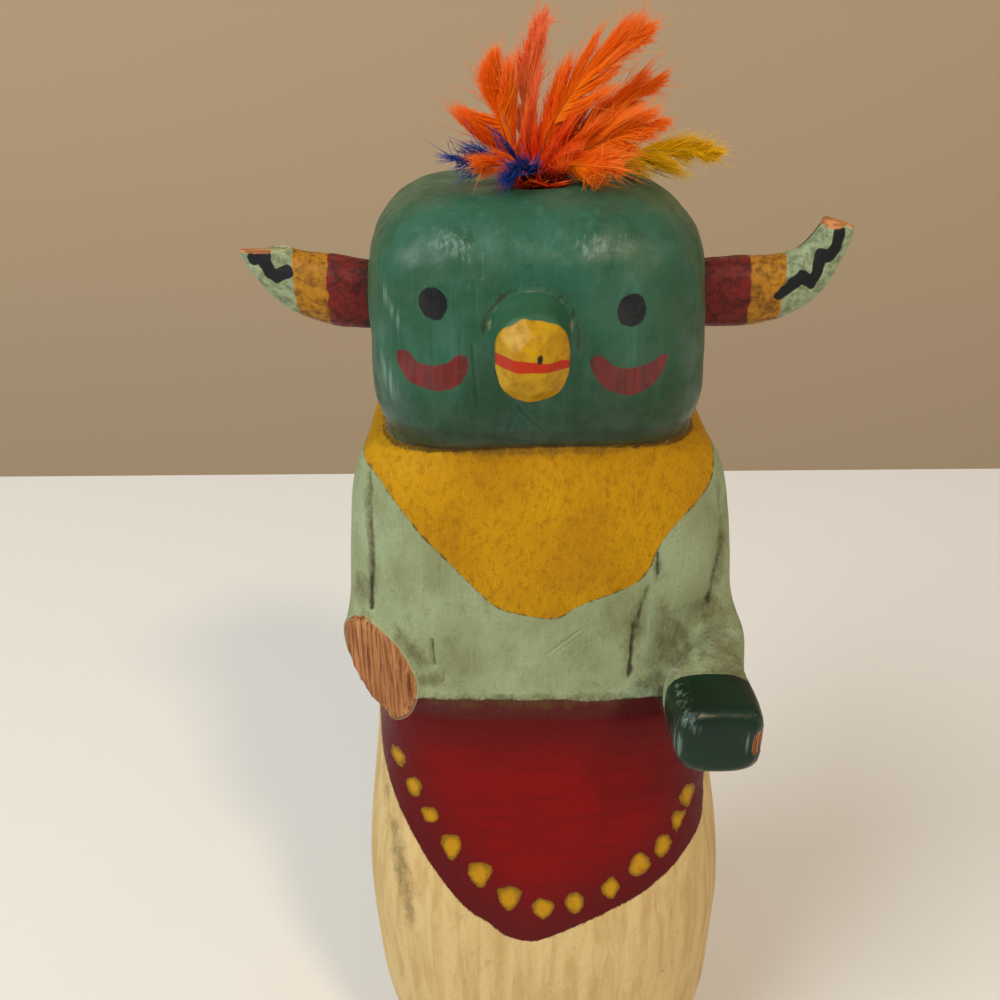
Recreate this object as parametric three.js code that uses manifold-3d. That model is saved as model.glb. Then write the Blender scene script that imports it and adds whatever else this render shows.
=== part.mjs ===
// A painted, carved wooden kachina doll: one carved figure, a pegged-in snout and two horns,
// and a bunch of ten small feathers in a drilled hole on top of the head.
// Millimetres. +Z is up, -Y is the doll's front, and the origin is the middle of its underside.
import * as THREE from 'three';
import { mergeVertices } from 'three/addons/utils/BufferGeometryUtils.js';
import Module from 'manifold-3d';

const wasm = await Module();
wasm.setup();

// ---------------------------------------------------------------- driving dimensions

const LEAN = -0.0215;           // sideways drift of the figure's middle line for each mm of height
const FIT_GAP = 0.3;            // air left round a pegged-in piece
const PEG_DEPTH = 4;            // how far snout and horns are drawn into the head before they are trimmed

// A plain low foot, carved in one with the kilt block above it.
const FOOT = {
  halfWide: 27, halfDeep: 24.5, top: 15, edgeRound: 1.2, draw: 2.6, hollow: 0.7, square: 2.7,
};

// The kilt block: its belly, its rounded lower end, and the waist that it draws in to.
const KILT = {
  bottom: 12, bellyHeight: 62, waistHeight: 126.4, top: 129.8,
  bellyHalfWide: 38.9, bellyHalfDeep: 36.4, bellySquare: 2.7,
  waistHalfWide: 32.6, waistHalfDeep: 27.8, waistSquare: 4.4, bottomFullness: 0.6, bellyHang: 1.2,
  ledgeSink: 0.6,               // how far the waist's sloping ledge runs in under the chest's skin
};

// Stations of the chest block, from inside the kilt up to the neck cut under the head.
const CHEST = [
  { z: 122.0, halfWide: 31.2, halfDeep: 23.6, square: 5.0 },
  { z: 134.0, halfWide: 32.2, halfDeep: 24.4, square: 5.0 },
  { z: 148.0, halfWide: 33.0, halfDeep: 25.8, square: 4.8 },
  { z: 160.0, halfWide: 33.0, halfDeep: 26.6, square: 4.4 },
  { z: 169.0, halfWide: 32.4, halfDeep: 26.9, square: 4.0 },
  { z: 174.0, halfWide: 31.2, halfDeep: 26.4, square: 3.8 },
  { z: 177.2, halfWide: 29.6, halfDeep: 25.4, square: 3.6 },
  { z: 179.4, halfWide: 26.2, halfDeep: 23.6, square: 3.6 },
  { z: 182.0, halfWide: 20.0, halfDeep: 19.0, square: 3.6 },
];

// The case mask: a rounded block, chamfered under the chin and round over the top edges.
const HEAD = {
  chin: 178.2, chamferTop: 184.5, cheek: 190, shoulder: 206.6, crown: 219.4,
  halfWide: 28.2, halfDeep: 25.6, square: 3.9, middleY: -2.4,
  chinInset: 4, chinSweep: 1.6, chinSquare: 3.2, crownSquare: 3, topTaper: 0.6, topRound: 12.5,
  dome: 0.5,
};
const FACE_Y = HEAD.middleY - HEAD.halfDeep;

// A short peg with a domed end, swelling a little where it meets the face.
const SNOUT = {
  x: -5.8, z: 199.5, halfWide: 5.5, halfHigh: 6.7, square: 2.3,
  length: 12.6, domeDepth: 3, rootSwell: 0.8, rootLength: 3,
};

// Both horns are cut to one pattern: a fat root that swings up into a blunt tip.
const HORN = {
  height: 199.0, middleY: -1, rootHalfHigh: 5.2, bellyHalfHigh: 6.5, tipHalfHigh: 2.8,
  flatness: 0.72, breakTilt: -8,
};
const LEFT_HORN = { side: 1, length: 29.5, straight: 9, tipBend: 74 };
const RIGHT_HORN = { side: -1, length: 24, straight: 5, tipBend: 58, brokenAt: 207.2 };

// Upper arms stand a little proud of the chest's sides, forearms reach out level in front.
const ARM = {
  shoulder: 176, elbow: 123.6, elbowRound: 13, middleY: -13, halfDeep: 8.6, shoulderShare: 0.6,
  insideOffset: 29, shoulderOutside: 29.6, elbowOutside: 37.1, shoulderSpread: 0.36, square: 2.6,
};
const FOREARM = {
  back: -8, wrist: -39, fistFront: -50.4, elbowOffset: 31.2, breakOffset: 30.2, fistOffset: 26.7,
  halfWide: 5, wristHalfWide: 6.9, fistHalfWide: 6.3, top: 146.4, elbowBottom: 123.8, fistBottom: 134.6,
  slant: 0.3, elbowDip: 3.2, stubSquare: 2.3, fistSquare: 4, frontChamfer: 1.2,
};

// The doll's right forearm is snapped off at this upright plane, turned outwards by some degrees.
const BREAK = { x: -33, y: -23.6, turn: 9 };

// The drilled hole that the feathers stand in.
const PLUME_HOLE = { x: -4.6, y: -7.5, radius: 4.2, floor: 208 };

// ---------------------------------------------------------------- finishes

const finish = (color, roughness) => new THREE.MeshStandardMaterial({ color, roughness, metalness: 0 });
const PAINTED_WOOD = finish(0x8ea78a, 0.6);
const SNOUT_PAINT = finish(0xd7b41e, 0.5);
const HORN_PAINT = finish(0xa8b48c, 0.6);
const PLUME_FINISHES = {
  orange: finish(0xf0500c, 0.85),
  blue: finish(0x28408c, 0.85),
  yellow: finish(0xdcbe1e, 0.85),
};

// ---------------------------------------------------------------- shaping helpers

const axisX = (z) => LEAN * z;
const mix = THREE.MathUtils.lerp;
const ease = (t) => THREE.MathUtils.smoothstep(t, 0, 1);
const quarterRound = (t) => 1 - Math.sqrt(Math.max(0, 1 - t * t));

// One level ring of a rounded block, as points [x, y, z]. A square of 2 is an ellipse, and more is boxier.
// The points crowd towards the corners, where the ring turns most.
const CORNER_CROWDING = 0.72;
function blockRing(sides, z, { x, y = 0, halfWide, halfDeep, square }) {
  const ring = [];
  for (let i = 0; i < sides; i += 1) {
    const turn = (2 * Math.PI * (i + 0.5)) / sides;
    const across = Math.sign(Math.cos(turn)) * Math.abs(Math.cos(turn)) ** CORNER_CROWDING;
    const along = Math.sign(Math.sin(turn)) * Math.abs(Math.sin(turn)) ** CORNER_CROWDING;
    const reach = (Math.abs(across) ** square + Math.abs(along) ** square) ** (-1 / square);
    ring.push([x + halfWide * across * reach, y + halfDeep * along * reach, z]);
  }
  return ring;
}

// A closed skin through rings of equal count, with a fan over each end.
function skin(rings, firstTip, lastTip) {
  const sides = rings[0].length;
  const corners = rings.flat();
  const faces = [];
  for (let r = 0; r + 1 < rings.length; r += 1) {
    for (let s = 0; s < sides; s += 1) {
      const a = r * sides + s;
      const b = r * sides + ((s + 1) % sides);
      faces.push(a, b, b + sides, a, b + sides, a + sides);
    }
  }
  const last = (rings.length - 1) * sides;
  const firstMiddle = corners.push(firstTip) - 1;
  const lastMiddle = corners.push(lastTip) - 1;
  for (let s = 0; s < sides; s += 1) {
    const next = (s + 1) % sides;
    faces.push(firstMiddle, next, s);
    faces.push(lastMiddle, last + s, last + next);
  }
  const geometry = new THREE.BufferGeometry();
  geometry.setAttribute('position', new THREE.Float32BufferAttribute(corners.flat(), 3));
  geometry.setIndex(faces);
  return geometry;
}

function middleOf(ring) {
  return [0, 1, 2].map((axis) => ring.reduce((sum, point) => sum + point[axis], 0) / ring.length);
}

// A smooth value between stations, for every named size of a station.
function between(stations, z) {
  let k = 0;
  while (k + 2 < stations.length && z > stations[k + 1].z) k += 1;
  const span = (i) => stations[Math.min(Math.max(i, 0), stations.length - 1)];
  const [before, low, high, after] = [span(k - 1), span(k), span(k + 1), span(k + 2)];
  const gap = high.z - low.z;
  const t = (z - low.z) / gap;
  const value = {};
  for (const size of Object.keys(low)) {
    const lowSlope = (high[size] - before[size]) / (high.z - before.z);
    const highSlope = (after[size] - low[size]) / (after.z - low.z);
    value[size] = (2 * t ** 3 - 3 * t ** 2 + 1) * low[size] + (t ** 3 - 2 * t ** 2 + t) * gap * lowSlope
      + (3 * t ** 2 - 2 * t ** 3) * high[size] + (t ** 3 - t ** 2) * gap * highSlope;
  }
  return value;
}

function toSolid(geometry) {
  const bare = geometry.clone();
  bare.deleteAttribute('normal');
  bare.deleteAttribute('uv');
  const merged = mergeVertices(bare, 1e-4);
  return new wasm.Manifold(new wasm.Mesh({
    numProp: 3,
    vertProperties: new Float32Array(merged.getAttribute('position').array),
    triVerts: new Uint32Array(merged.getIndex().array),
  }));
}

function toGeometry(solid) {
  const mesh = solid.getMesh();
  const geometry = new THREE.BufferGeometry();
  geometry.setAttribute('position', new THREE.BufferAttribute(new Float32Array(mesh.vertProperties), 3));
  geometry.setIndex(new THREE.BufferAttribute(new Uint32Array(mesh.triVerts), 1));
  geometry.computeVertexNormals();
  return geometry;
}

function node(name, solid, material) {
  const mesh = new THREE.Mesh(toGeometry(solid), material);
  mesh.name = name;
  return mesh;
}

// ---------------------------------------------------------------- the carved figure

const BODY_SIDES = 44;

function footSolid() {
  const rings = [
    { z: 0, inset: FOOT.edgeRound },
    { z: FOOT.edgeRound, inset: 0 },
    { z: FOOT.top / 2, inset: FOOT.draw * FOOT.hollow },
    { z: FOOT.top, inset: FOOT.draw },
  ].map(({ z, inset }) => blockRing(BODY_SIDES, z, {
    x: 0, halfWide: FOOT.halfWide - inset, halfDeep: FOOT.halfDeep - inset, square: FOOT.square,
  }));
  return toSolid(skin(rings, [0, 0, 0], [0, 0, FOOT.top]));
}

function kiltRing(z, fullness, square) {
  return blockRing(BODY_SIDES, z, {
    x: axisX(z),
    halfWide: mix(KILT.waistHalfWide, KILT.bellyHalfWide, fullness),
    halfDeep: mix(KILT.waistHalfDeep, KILT.bellyHalfDeep, fullness),
    square,
  });
}

function kiltSolid() {
  const rings = [];
  const lowerSteps = 9;
  for (let i = 1; i <= lowerSteps; i += 1) {
    const drop = Math.cos((i / lowerSteps) * (Math.PI / 2)) ** KILT.bottomFullness;
    const z = KILT.bellyHeight - (KILT.bellyHeight - KILT.bottom) * drop;
    const size = Math.cbrt(1 - drop ** 3);
    rings.push(blockRing(BODY_SIDES, z, {
      x: axisX(z), halfWide: KILT.bellyHalfWide * size, halfDeep: KILT.bellyHalfDeep * size,
      square: KILT.bellySquare,
    }));
  }
  const upperSteps = 9;
  for (let i = 1; i <= upperSteps; i += 1) {
    const rise = i / upperSteps;
    const z = mix(KILT.bellyHeight, KILT.waistHeight, rise);
    const fullness = Math.cos((Math.PI / 2) * rise ** KILT.bellyHang) ** 2;
    rings.push(kiltRing(z, fullness, mix(KILT.bellySquare, KILT.waistSquare, rise)));
  }
  const chest = between(CHEST, KILT.top);
  rings.push(blockRing(BODY_SIDES, KILT.top, {
    x: axisX(KILT.top), halfWide: chest.halfWide - KILT.ledgeSink, halfDeep: chest.halfDeep - KILT.ledgeSink,
    square: chest.square,
  }));
  return toSolid(skin(rings, [axisX(KILT.bottom), 0, KILT.bottom], middleOf(rings.at(-1))));
}

function chestSolid() {
  const heights = CHEST.flatMap(({ z }, k) => (k === 0 ? [z] : [mix(CHEST[k - 1].z, z, 0.5), z]));
  const rings = heights.map((z) => blockRing(BODY_SIDES, z, { ...between(CHEST, z), x: axisX(z) }));
  return toSolid(skin(rings, middleOf(rings[0]), middleOf(rings.at(-1))));
}

// The head block, or the same block grown by a margin for cutting what is fitted to it.
function headSolid(margin = 0) {
  const ringAt = (z, inset, square = HEAD.square) => blockRing(BODY_SIDES, z, {
    x: axisX(z),
    y: HEAD.middleY,
    halfWide: HEAD.halfWide - inset + margin,
    halfDeep: HEAD.halfDeep - inset + margin,
    square,
  });
  const rings = [];
  const chinSteps = 3;
  for (let i = 0; i < chinSteps; i += 1) {
    const rise = i / (chinSteps - 1);
    const z = mix(HEAD.chin, HEAD.chamferTop, rise);
    const square = mix(HEAD.chinSquare, HEAD.square, rise);
    rings.push(ringAt(z, HEAD.chinInset * (1 - rise) ** HEAD.chinSweep, square));
  }
  rings.push(ringAt(HEAD.cheek, 0));
  rings.push(ringAt(mix(HEAD.cheek, HEAD.shoulder, 0.5), HEAD.topTaper / 2));
  const roundSteps = 7;
  for (let i = 0; i <= roundSteps; i += 1) {
    const angle = (i / (roundSteps + 0.6)) * (Math.PI / 2);
    const z = HEAD.shoulder + (HEAD.crown - HEAD.dome - HEAD.shoulder) * Math.sin(angle);
    const inset = HEAD.topTaper + HEAD.topRound * (1 - Math.cos(angle));
    const square = mix(HEAD.square, HEAD.crownSquare, i / roundSteps);
    rings.push(ringAt(z + margin * Math.sin(angle), inset, square));
  }
  const crown = middleOf(rings.at(-1));
  crown[2] = HEAD.crown + margin;
  return toSolid(skin(rings, middleOf(rings[0]), crown));
}

// side is -1 for the doll's right arm, on the left in front view, and +1 for the other.
function upperArmSolid(side) {
  const steps = 11;
  const rings = [];
  for (let i = 0; i < steps; i += 1) {
    const z = mix(ARM.elbow + 0.4, ARM.shoulder, Math.sin((i / (steps - 1)) * (Math.PI / 2)) ** 1.6);
    const down = (ARM.shoulder - z) / (ARM.shoulder - ARM.elbow);
    const outside = mix(ARM.shoulderOutside, ARM.elbowOutside, down ** ARM.shoulderSpread);
    const round = 1 - quarterRound(Math.max(0, 1 - (z - ARM.elbow) / ARM.elbowRound));
    rings.push(blockRing(16, z, {
      x: axisX(z) + side * ARM.insideOffset,
      y: ARM.middleY,
      halfWide: (outside - ARM.insideOffset) * round,
      halfDeep: ARM.halfDeep * mix(ARM.shoulderShare, 1, down ** 0.5) * round,
      square: ARM.square,
    }));
  }
  return toSolid(skin(rings, middleOf(rings[0]), middleOf(rings.at(-1))));
}

function forearmSolid(side) {
  const ringAt = (y, inset = 0) => {
    const stub = Math.min(1, (FOREARM.back - y) / (FOREARM.back - BREAK.y));
    const wrist = ease((BREAK.y - y) / (BREAK.y - FOREARM.wrist));
    const hand = Math.max(0, (FOREARM.wrist - y) / (FOREARM.wrist - FOREARM.fistFront));
    const offset = mix(mix(FOREARM.elbowOffset, FOREARM.breakOffset, stub), FOREARM.fistOffset, wrist);
    const wristHalfWide = mix(FOREARM.halfWide, FOREARM.wristHalfWide, wrist);
    const halfWide = mix(wristHalfWide, FOREARM.fistHalfWide, hand) - inset;
    const bottom = mix(FOREARM.elbowBottom, FOREARM.fistBottom, wrist) + inset;
    const top = FOREARM.top - FOREARM.elbowDip * (1 - ease(stub)) - inset;
    const middleZ = (top + bottom) / 2;
    const square = mix(FOREARM.stubSquare, FOREARM.fistSquare, wrist);
    return blockRing(20, 0, { x: 0, halfWide, halfDeep: (top - bottom) / 2, square })
      .map(([across, up]) => [
        axisX(middleZ) + side * (offset + across + FOREARM.slant * (1 - wrist) * up),
        y,
        middleZ + up,
      ]);
  };
  const steps = 10;
  const rings = [];
  for (let i = 0; i <= steps; i += 1) {
    rings.push(ringAt(mix(FOREARM.back, FOREARM.fistFront + FOREARM.frontChamfer, i / steps)));
  }
  rings.push(ringAt(FOREARM.fistFront, FOREARM.frontChamfer));
  const turned = side > 0 ? rings : rings.map((ring) => [...ring].reverse());
  return toSolid(skin(turned, middleOf(turned[0]), middleOf(turned.at(-1))));
}

// A box with the middle of its -Z face at the origin, for cutting away all that is above a plane.
const CUTTER_SIZE = 60;
function planeCutter() {
  const box = new THREE.BoxGeometry(CUTTER_SIZE, CUTTER_SIZE, CUTTER_SIZE);
  return box.translate(0, 0, CUTTER_SIZE / 2);
}

function breakCutter() {
  const box = planeCutter();
  box.rotateX(Math.PI / 2);
  box.rotateZ(THREE.MathUtils.degToRad(-BREAK.turn));
  box.translate(BREAK.x, BREAK.y, mix(ARM.elbow, FOREARM.top, 0.5));
  return toSolid(box);
}

function plumeHoleSolid() {
  const height = 2 * (HEAD.crown - PLUME_HOLE.floor);
  const drill = new THREE.CylinderGeometry(PLUME_HOLE.radius, PLUME_HOLE.radius, height, 20);
  drill.rotateX(Math.PI / 2);
  drill.translate(PLUME_HOLE.x, PLUME_HOLE.y, HEAD.crown);
  return toSolid(drill);
}

function figureSolid() {
  const brokenArm = upperArmSolid(-1).add(forearmSolid(-1)).subtract(breakCutter());
  return footSolid()
    .add(kiltSolid())
    .add(chestSolid())
    .add(headSolid())
    .add(brokenArm)
    .add(upperArmSolid(1))
    .add(forearmSolid(1))
    .subtract(plumeHoleSolid());
}

// ---------------------------------------------------------------- snout and horns

function snoutSolid() {
  const tip = FACE_Y - SNOUT.length;
  const shoulder = tip + SNOUT.domeDepth;
  const ringAt = (y, swell) => blockRing(18, 0, {
    x: 0, halfWide: SNOUT.halfWide + swell, halfDeep: SNOUT.halfHigh + swell, square: SNOUT.square,
  }).map(([across, up]) => [SNOUT.x + across, y, SNOUT.z + up]);
  const rings = [
    ringAt(FACE_Y + PEG_DEPTH, SNOUT.rootSwell),
    ringAt(FACE_Y - SNOUT.rootLength * 0.4, SNOUT.rootSwell * 0.6),
    ringAt(FACE_Y - SNOUT.rootLength, 0),
    ringAt(shoulder, 0),
    ringAt(mix(shoulder, tip, 0.55), -SNOUT.domeDepth * 0.37),
    ringAt(mix(shoulder, tip, 0.9), -SNOUT.domeDepth),
  ];
  const snout = toSolid(skin(rings, middleOf(rings[0]), [SNOUT.x, tip, SNOUT.z]));
  return snout.subtract(headSolid(FIT_GAP));
}

// The broken horn ends in a nearly level face of bare wood.
function hornBreakCutter(side, height) {
  const box = planeCutter();
  box.rotateX(THREE.MathUtils.degToRad(HORN.breakTilt));
  box.translate(side * (HEAD.halfWide + CUTTER_SIZE / 2), HORN.middleY, height);
  return toSolid(box);
}

// A horn's middle line runs out level, then swings up by tipBend degrees to the tip.
function hornSolid({ side, length, straight, tipBend, brokenAt }) {
  const steps = 14;
  const whole = length + PEG_DEPTH;
  const rings = [];
  let out = HEAD.halfWide - PEG_DEPTH;
  let up = 0;
  for (let i = 0; i <= steps; i += 1) {
    const run = i / steps;
    const swing = ease((run * whole - straight) / (whole - straight));
    const bend = THREE.MathUtils.degToRad(tipBend) * swing;
    const swell = (HORN.bellyHalfHigh - HORN.rootHalfHigh) * Math.sin(Math.PI * Math.min(1, run / 0.8));
    const half = mix(HORN.rootHalfHigh, HORN.tipHalfHigh, run ** 2.4) + swell;
    const middleX = axisX(HORN.height) + side * out;
    rings.push(blockRing(14, 0, { x: 0, halfWide: half, halfDeep: half * HORN.flatness, square: 2.3 })
      .map(([rise, depth]) => [
        middleX - side * rise * Math.sin(bend),
        HORN.middleY - side * depth,
        HORN.height + up + rise * Math.cos(bend),
      ]));
    out += (whole / steps) * Math.cos(bend);
    up += (whole / steps) * Math.sin(bend);
  }
  const uncut = toSolid(skin(rings, middleOf(rings[0]), middleOf(rings.at(-1))));
  const horn = uncut.subtract(headSolid(FIT_GAP));
  return brokenAt ? horn.subtract(hornBreakCutter(side, brokenAt)) : horn;
}

// ---------------------------------------------------------------- feathers

// Each feather stands in its own spot of the hole and rises from it upright. Above the mouth its quill
// leans out towards its bearing (degrees from the doll's left, turning towards its back), and curls on.
const PLUMES = [
  {
    name: 'plume_orange_tall', colour: 'orange', spotRadius: 0.9, spotTurn: 110,
    bearing: 138, lean: 27, curl: -60, length: 25.5, width: 5.2,
  },
  {
    name: 'plume_orange_main', colour: 'orange', spotRadius: 0.9, spotTurn: 290,
    bearing: -8, lean: 8, curl: 66, length: 32, width: 7,
  },
  {
    name: 'plume_orange_left', colour: 'orange', spotRadius: 3, spotTurn: 168,
    bearing: 181, lean: 40, curl: -22, length: 20, width: 8,
  },
  {
    name: 'plume_orange_upper', colour: 'orange', spotRadius: 3, spotTurn: 14,
    bearing: 4, lean: 44, curl: 24, length: 25, width: 4.5,
  },
  {
    name: 'plume_orange_middle', colour: 'orange', spotRadius: 3, spotTurn: -13,
    bearing: -18, lean: 60, curl: 24, length: 23, width: 5.5,
  },
  {
    name: 'plume_orange_low', colour: 'orange', spotRadius: 3, spotTurn: -42,
    bearing: -40, lean: 84, curl: 8, length: 17, width: 4,
  },
  {
    name: 'plume_orange_tuft', colour: 'orange', spotRadius: 3, spotTurn: 225,
    bearing: 220, lean: 78, curl: 8, length: 12, width: 4.5,
  },
  {
    name: 'plume_blue_upper', colour: 'blue', spotRadius: 3, spotTurn: 199,
    bearing: 202, lean: 74, curl: 12, length: 13, width: 4,
  },
  {
    name: 'plume_blue_lower', colour: 'blue', spotRadius: 3, spotTurn: 252,
    bearing: 243, lean: 88, curl: 12, length: 10, width: 4,
  },
  {
    name: 'plume_yellow', colour: 'yellow', spotRadius: 3, spotTurn: 42,
    bearing: 15, lean: 84, curl: 14, length: 35.5, width: 5.5,
  },
];
const PLUME = {
  quillRadius: 0.45, footHeight: 210.2, inHole: 9, bendRun: 4, flatness: 0.42, pointing: 1.2,
  steps: 13, sides: 8,
};

function plumeSolid({ spotRadius, spotTurn, bearing, lean, curl, length, width }) {
  const turnOf = THREE.MathUtils.degToRad;
  const outward = new THREE.Vector3(Math.cos(turnOf(bearing)), Math.sin(turnOf(bearing)), 0);
  const side = new THREE.Vector3(-outward.y, outward.x, 0);
  const up = new THREE.Vector3(0, 0, 1);
  const place = new THREE.Vector3(
    PLUME_HOLE.x + spotRadius * Math.cos(turnOf(spotTurn)),
    PLUME_HOLE.y + spotRadius * Math.sin(turnOf(spotTurn)),
    PLUME.footHeight,
  );
  const rings = [];
  const step = (PLUME.inHole + length) / PLUME.steps;
  for (let i = 0; i <= PLUME.steps; i += 1) {
    const above = Math.max(0, i * step - PLUME.inHole);
    const tilt = turnOf(lean * ease(above / PLUME.bendRun) + curl * (above / length));
    const along = outward.clone().multiplyScalar(Math.sin(tilt)).addScaledVector(up, Math.cos(tilt));
    const face = new THREE.Vector3().crossVectors(along, side);
    const blade = Math.sin(Math.PI * (above / length)) ** PLUME.pointing;
    const half = mix(PLUME.quillRadius, width / 2, blade);
    const thin = Math.max(PLUME.quillRadius, half * PLUME.flatness);
    const ring = [];
    for (let k = 0; k < PLUME.sides; k += 1) {
      const angle = (2 * Math.PI * k) / PLUME.sides;
      const point = place.clone()
        .addScaledVector(face, half * Math.cos(angle))
        .addScaledVector(side, -thin * Math.sin(angle));
      ring.push(point.toArray());
    }
    rings.push(ring);
    place.addScaledVector(along, step);
  }
  return toSolid(skin(rings, middleOf(rings[0]), middleOf(rings.at(-1))));
}

// ---------------------------------------------------------------- assembly

const doll = new THREE.Group();
doll.add(node('figure', figureSolid(), PAINTED_WOOD));
doll.add(node('snout', snoutSolid(), SNOUT_PAINT));
doll.add(node('horn_left', hornSolid(LEFT_HORN), HORN_PAINT));
doll.add(node('horn_right', hornSolid(RIGHT_HORN), HORN_PAINT));
for (const plume of PLUMES) doll.add(node(plume.name, plumeSolid(plume), PLUME_FINISHES[plume.colour]));

export default doll;
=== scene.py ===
import math

import bmesh
import bpy
import numpy as np
from mathutils import Euler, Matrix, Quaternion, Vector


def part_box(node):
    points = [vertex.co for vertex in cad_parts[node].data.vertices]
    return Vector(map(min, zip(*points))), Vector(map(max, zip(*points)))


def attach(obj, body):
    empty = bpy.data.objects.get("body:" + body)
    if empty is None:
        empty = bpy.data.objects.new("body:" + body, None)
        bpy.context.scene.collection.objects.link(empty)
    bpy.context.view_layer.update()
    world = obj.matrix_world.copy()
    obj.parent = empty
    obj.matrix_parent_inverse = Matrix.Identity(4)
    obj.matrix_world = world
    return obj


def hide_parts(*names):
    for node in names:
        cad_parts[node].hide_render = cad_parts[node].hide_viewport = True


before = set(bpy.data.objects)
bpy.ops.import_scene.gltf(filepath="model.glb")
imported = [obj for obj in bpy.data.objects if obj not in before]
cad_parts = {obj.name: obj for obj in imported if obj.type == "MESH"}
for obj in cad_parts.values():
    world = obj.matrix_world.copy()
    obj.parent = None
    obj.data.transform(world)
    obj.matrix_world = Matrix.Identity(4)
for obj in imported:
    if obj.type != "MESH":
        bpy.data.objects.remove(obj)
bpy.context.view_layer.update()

# ------------------------------------------------------------ the carved figure
# The doll is one block of cottonwood root: foot, kilt, chest, head and arms, whittled with a knife
# and rubbed smooth. The doll's right forearm has snapped off, which left a face of bare split wood.

MM = 0.001
FIGURE_NET = 0.95               # mm between the points of the carved surface
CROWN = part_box("figure")[1].z / MM
FACE_Y = -28.0                  # the flat front of the head
NECK, WAIST = 178.6, 128.0      # heights of the head's lower edge and of the ledge over the kilt
ARM_X = 9.0                     # the doll's left forearm lies beyond this
MARKS_Y = -15.0                 # eyes, cheeks and dabs lie in front of this
OUTSIDE = -9.0                  # a distance that counts as well outside a painted area
HOLE = dict(x=-4.6, y=-7.5)


def whittled_copy(node, name, net):
    """A new piece with the form of a CAD node, in small even faces `net` mm wide."""
    piece = bpy.data.objects.new(name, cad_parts[node].data.copy())
    bpy.context.scene.collection.objects.link(piece)
    remesh = piece.modifiers.new("net", "REMESH")
    remesh.mode = "VOXEL"
    remesh.voxel_size = net * MM
    remesh.adaptivity = 0
    seen = piece.evaluated_get(bpy.context.evaluated_depsgraph_get())
    surface = bpy.data.meshes.new_from_object(seen)
    piece.modifiers.clear()
    piece.data = surface
    surface.materials.clear()
    surface.name = name
    return piece


def read(items, what, width, kind=float):
    """One row of `width` values for each item of a mesh."""
    flat = np.empty(len(items) * width, kind)
    items.foreach_get(what, flat)
    return flat.reshape(-1, width)


def points_of(piece):
    return read(piece.data.vertices, "co", 3) / MM


def normals_of(piece):
    return read(piece.data.vertices, "normal", 3)


def edges_of(piece):
    return read(piece.data.edges, "vertices", 2, int)


def set_points(piece, points):
    piece.data.vertices.foreach_set("co", (points * MM).ravel())
    piece.data.update()


def rubbed(points, edges, rounds, hold=0.0):
    """Each point drawn to the middle of its neighbours, over and over; it stays where hold is 1."""
    count = np.bincount(edges.ravel(), minlength=len(points))[:, None]
    free = 0.5 * (1 - np.asarray(hold, float))
    free = free[:, None] if free.ndim else free
    for _ in range(rounds):
        total = np.empty_like(points)
        for axis in range(3):
            value = points[:, axis]
            total[:, axis] = np.bincount(edges[:, 0], value[edges[:, 1]], len(points))
            total[:, axis] += np.bincount(edges[:, 1], value[edges[:, 0]], len(points))
        points = points + free * (total / count - points)
    return points


def scrambled(cell, seed):
    """A repeatable number from 0 to 1 for each whole-numbered cell."""
    key = (cell * np.array([73856093, 19349663, 83492791])).sum(-1) + seed * 374761393
    key = (key ^ (key >> 13)) * 1274126177 & 0x7FFFFFFF
    return ((key ^ (key >> 16)) & 0xFFFF) / 65535.0


def waviness(points, size, seed):
    """Smooth unevenness from -1 to 1 that changes over about `size` mm."""
    cell = np.floor(points / size).astype(np.int64)
    t = points / size - cell
    t = t * t * (3 - 2 * t)
    total = 0
    for corner in np.ndindex(2, 2, 2):
        share = np.prod(np.where(corner, t, 1 - t), axis=1)
        total = total + share * (scrambled(cell + np.array(corner), seed) * 2 - 1)
    return total


def knife_cuts(points, size, seed):
    """Shallow scoops side by side: 0 in the middle of a cut, rising to the ridge between two."""
    spot = points / size
    cell = np.floor(spot).astype(np.int64)
    nearest = np.full(len(points), 9.0)
    for step in np.ndindex(3, 3, 3):
        home = cell + np.array(step) - 1
        middle = home + np.stack([scrambled(home, seed + k) for k in (0, 1, 2)], -1)
        nearest = np.minimum(nearest, ((spot - middle) ** 2).sum(-1))
    return nearest


def soft_step(value, low, high):
    t = np.clip((value - low) / (high - low), 0, 1)
    return t * t * (3 - 2 * t)


def near(distance, width):
    """1 at no distance, fading smoothly to nothing over about twice the width."""
    return np.exp(-((distance / width) ** 2))


def front_view(points):
    return points[:, [0, 2]]


def off_line(flat, start, end):
    """Distance in mm from a straight line between two points, seen from the front."""
    start, end = np.array(start, float), np.array(end, float)
    run = end - start
    t = np.clip(((flat - start) @ run) / (run @ run), 0, 1)
    return np.linalg.norm(flat - start - t[:, None] * run, axis=1)


def rounded(corners, per_side=6):
    """A closed outline that runs smoothly through its corners."""
    corners = np.array(corners, float)
    before, after, next_one = np.roll(corners, 1, 0), np.roll(corners, -1, 0), np.roll(corners, -2, 0)
    t = (np.arange(per_side) / per_side)[None, :, None]
    a, b, c, d = (v[:, None, :] for v in (before, corners, after, next_one))
    curve = 0.5 * (2 * b + (c - a) * t + (2 * a - 5 * b + 4 * c - d) * t**2 + (3 * b - a - 3 * c + d) * t**3)
    return curve.reshape(-1, 2)


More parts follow.
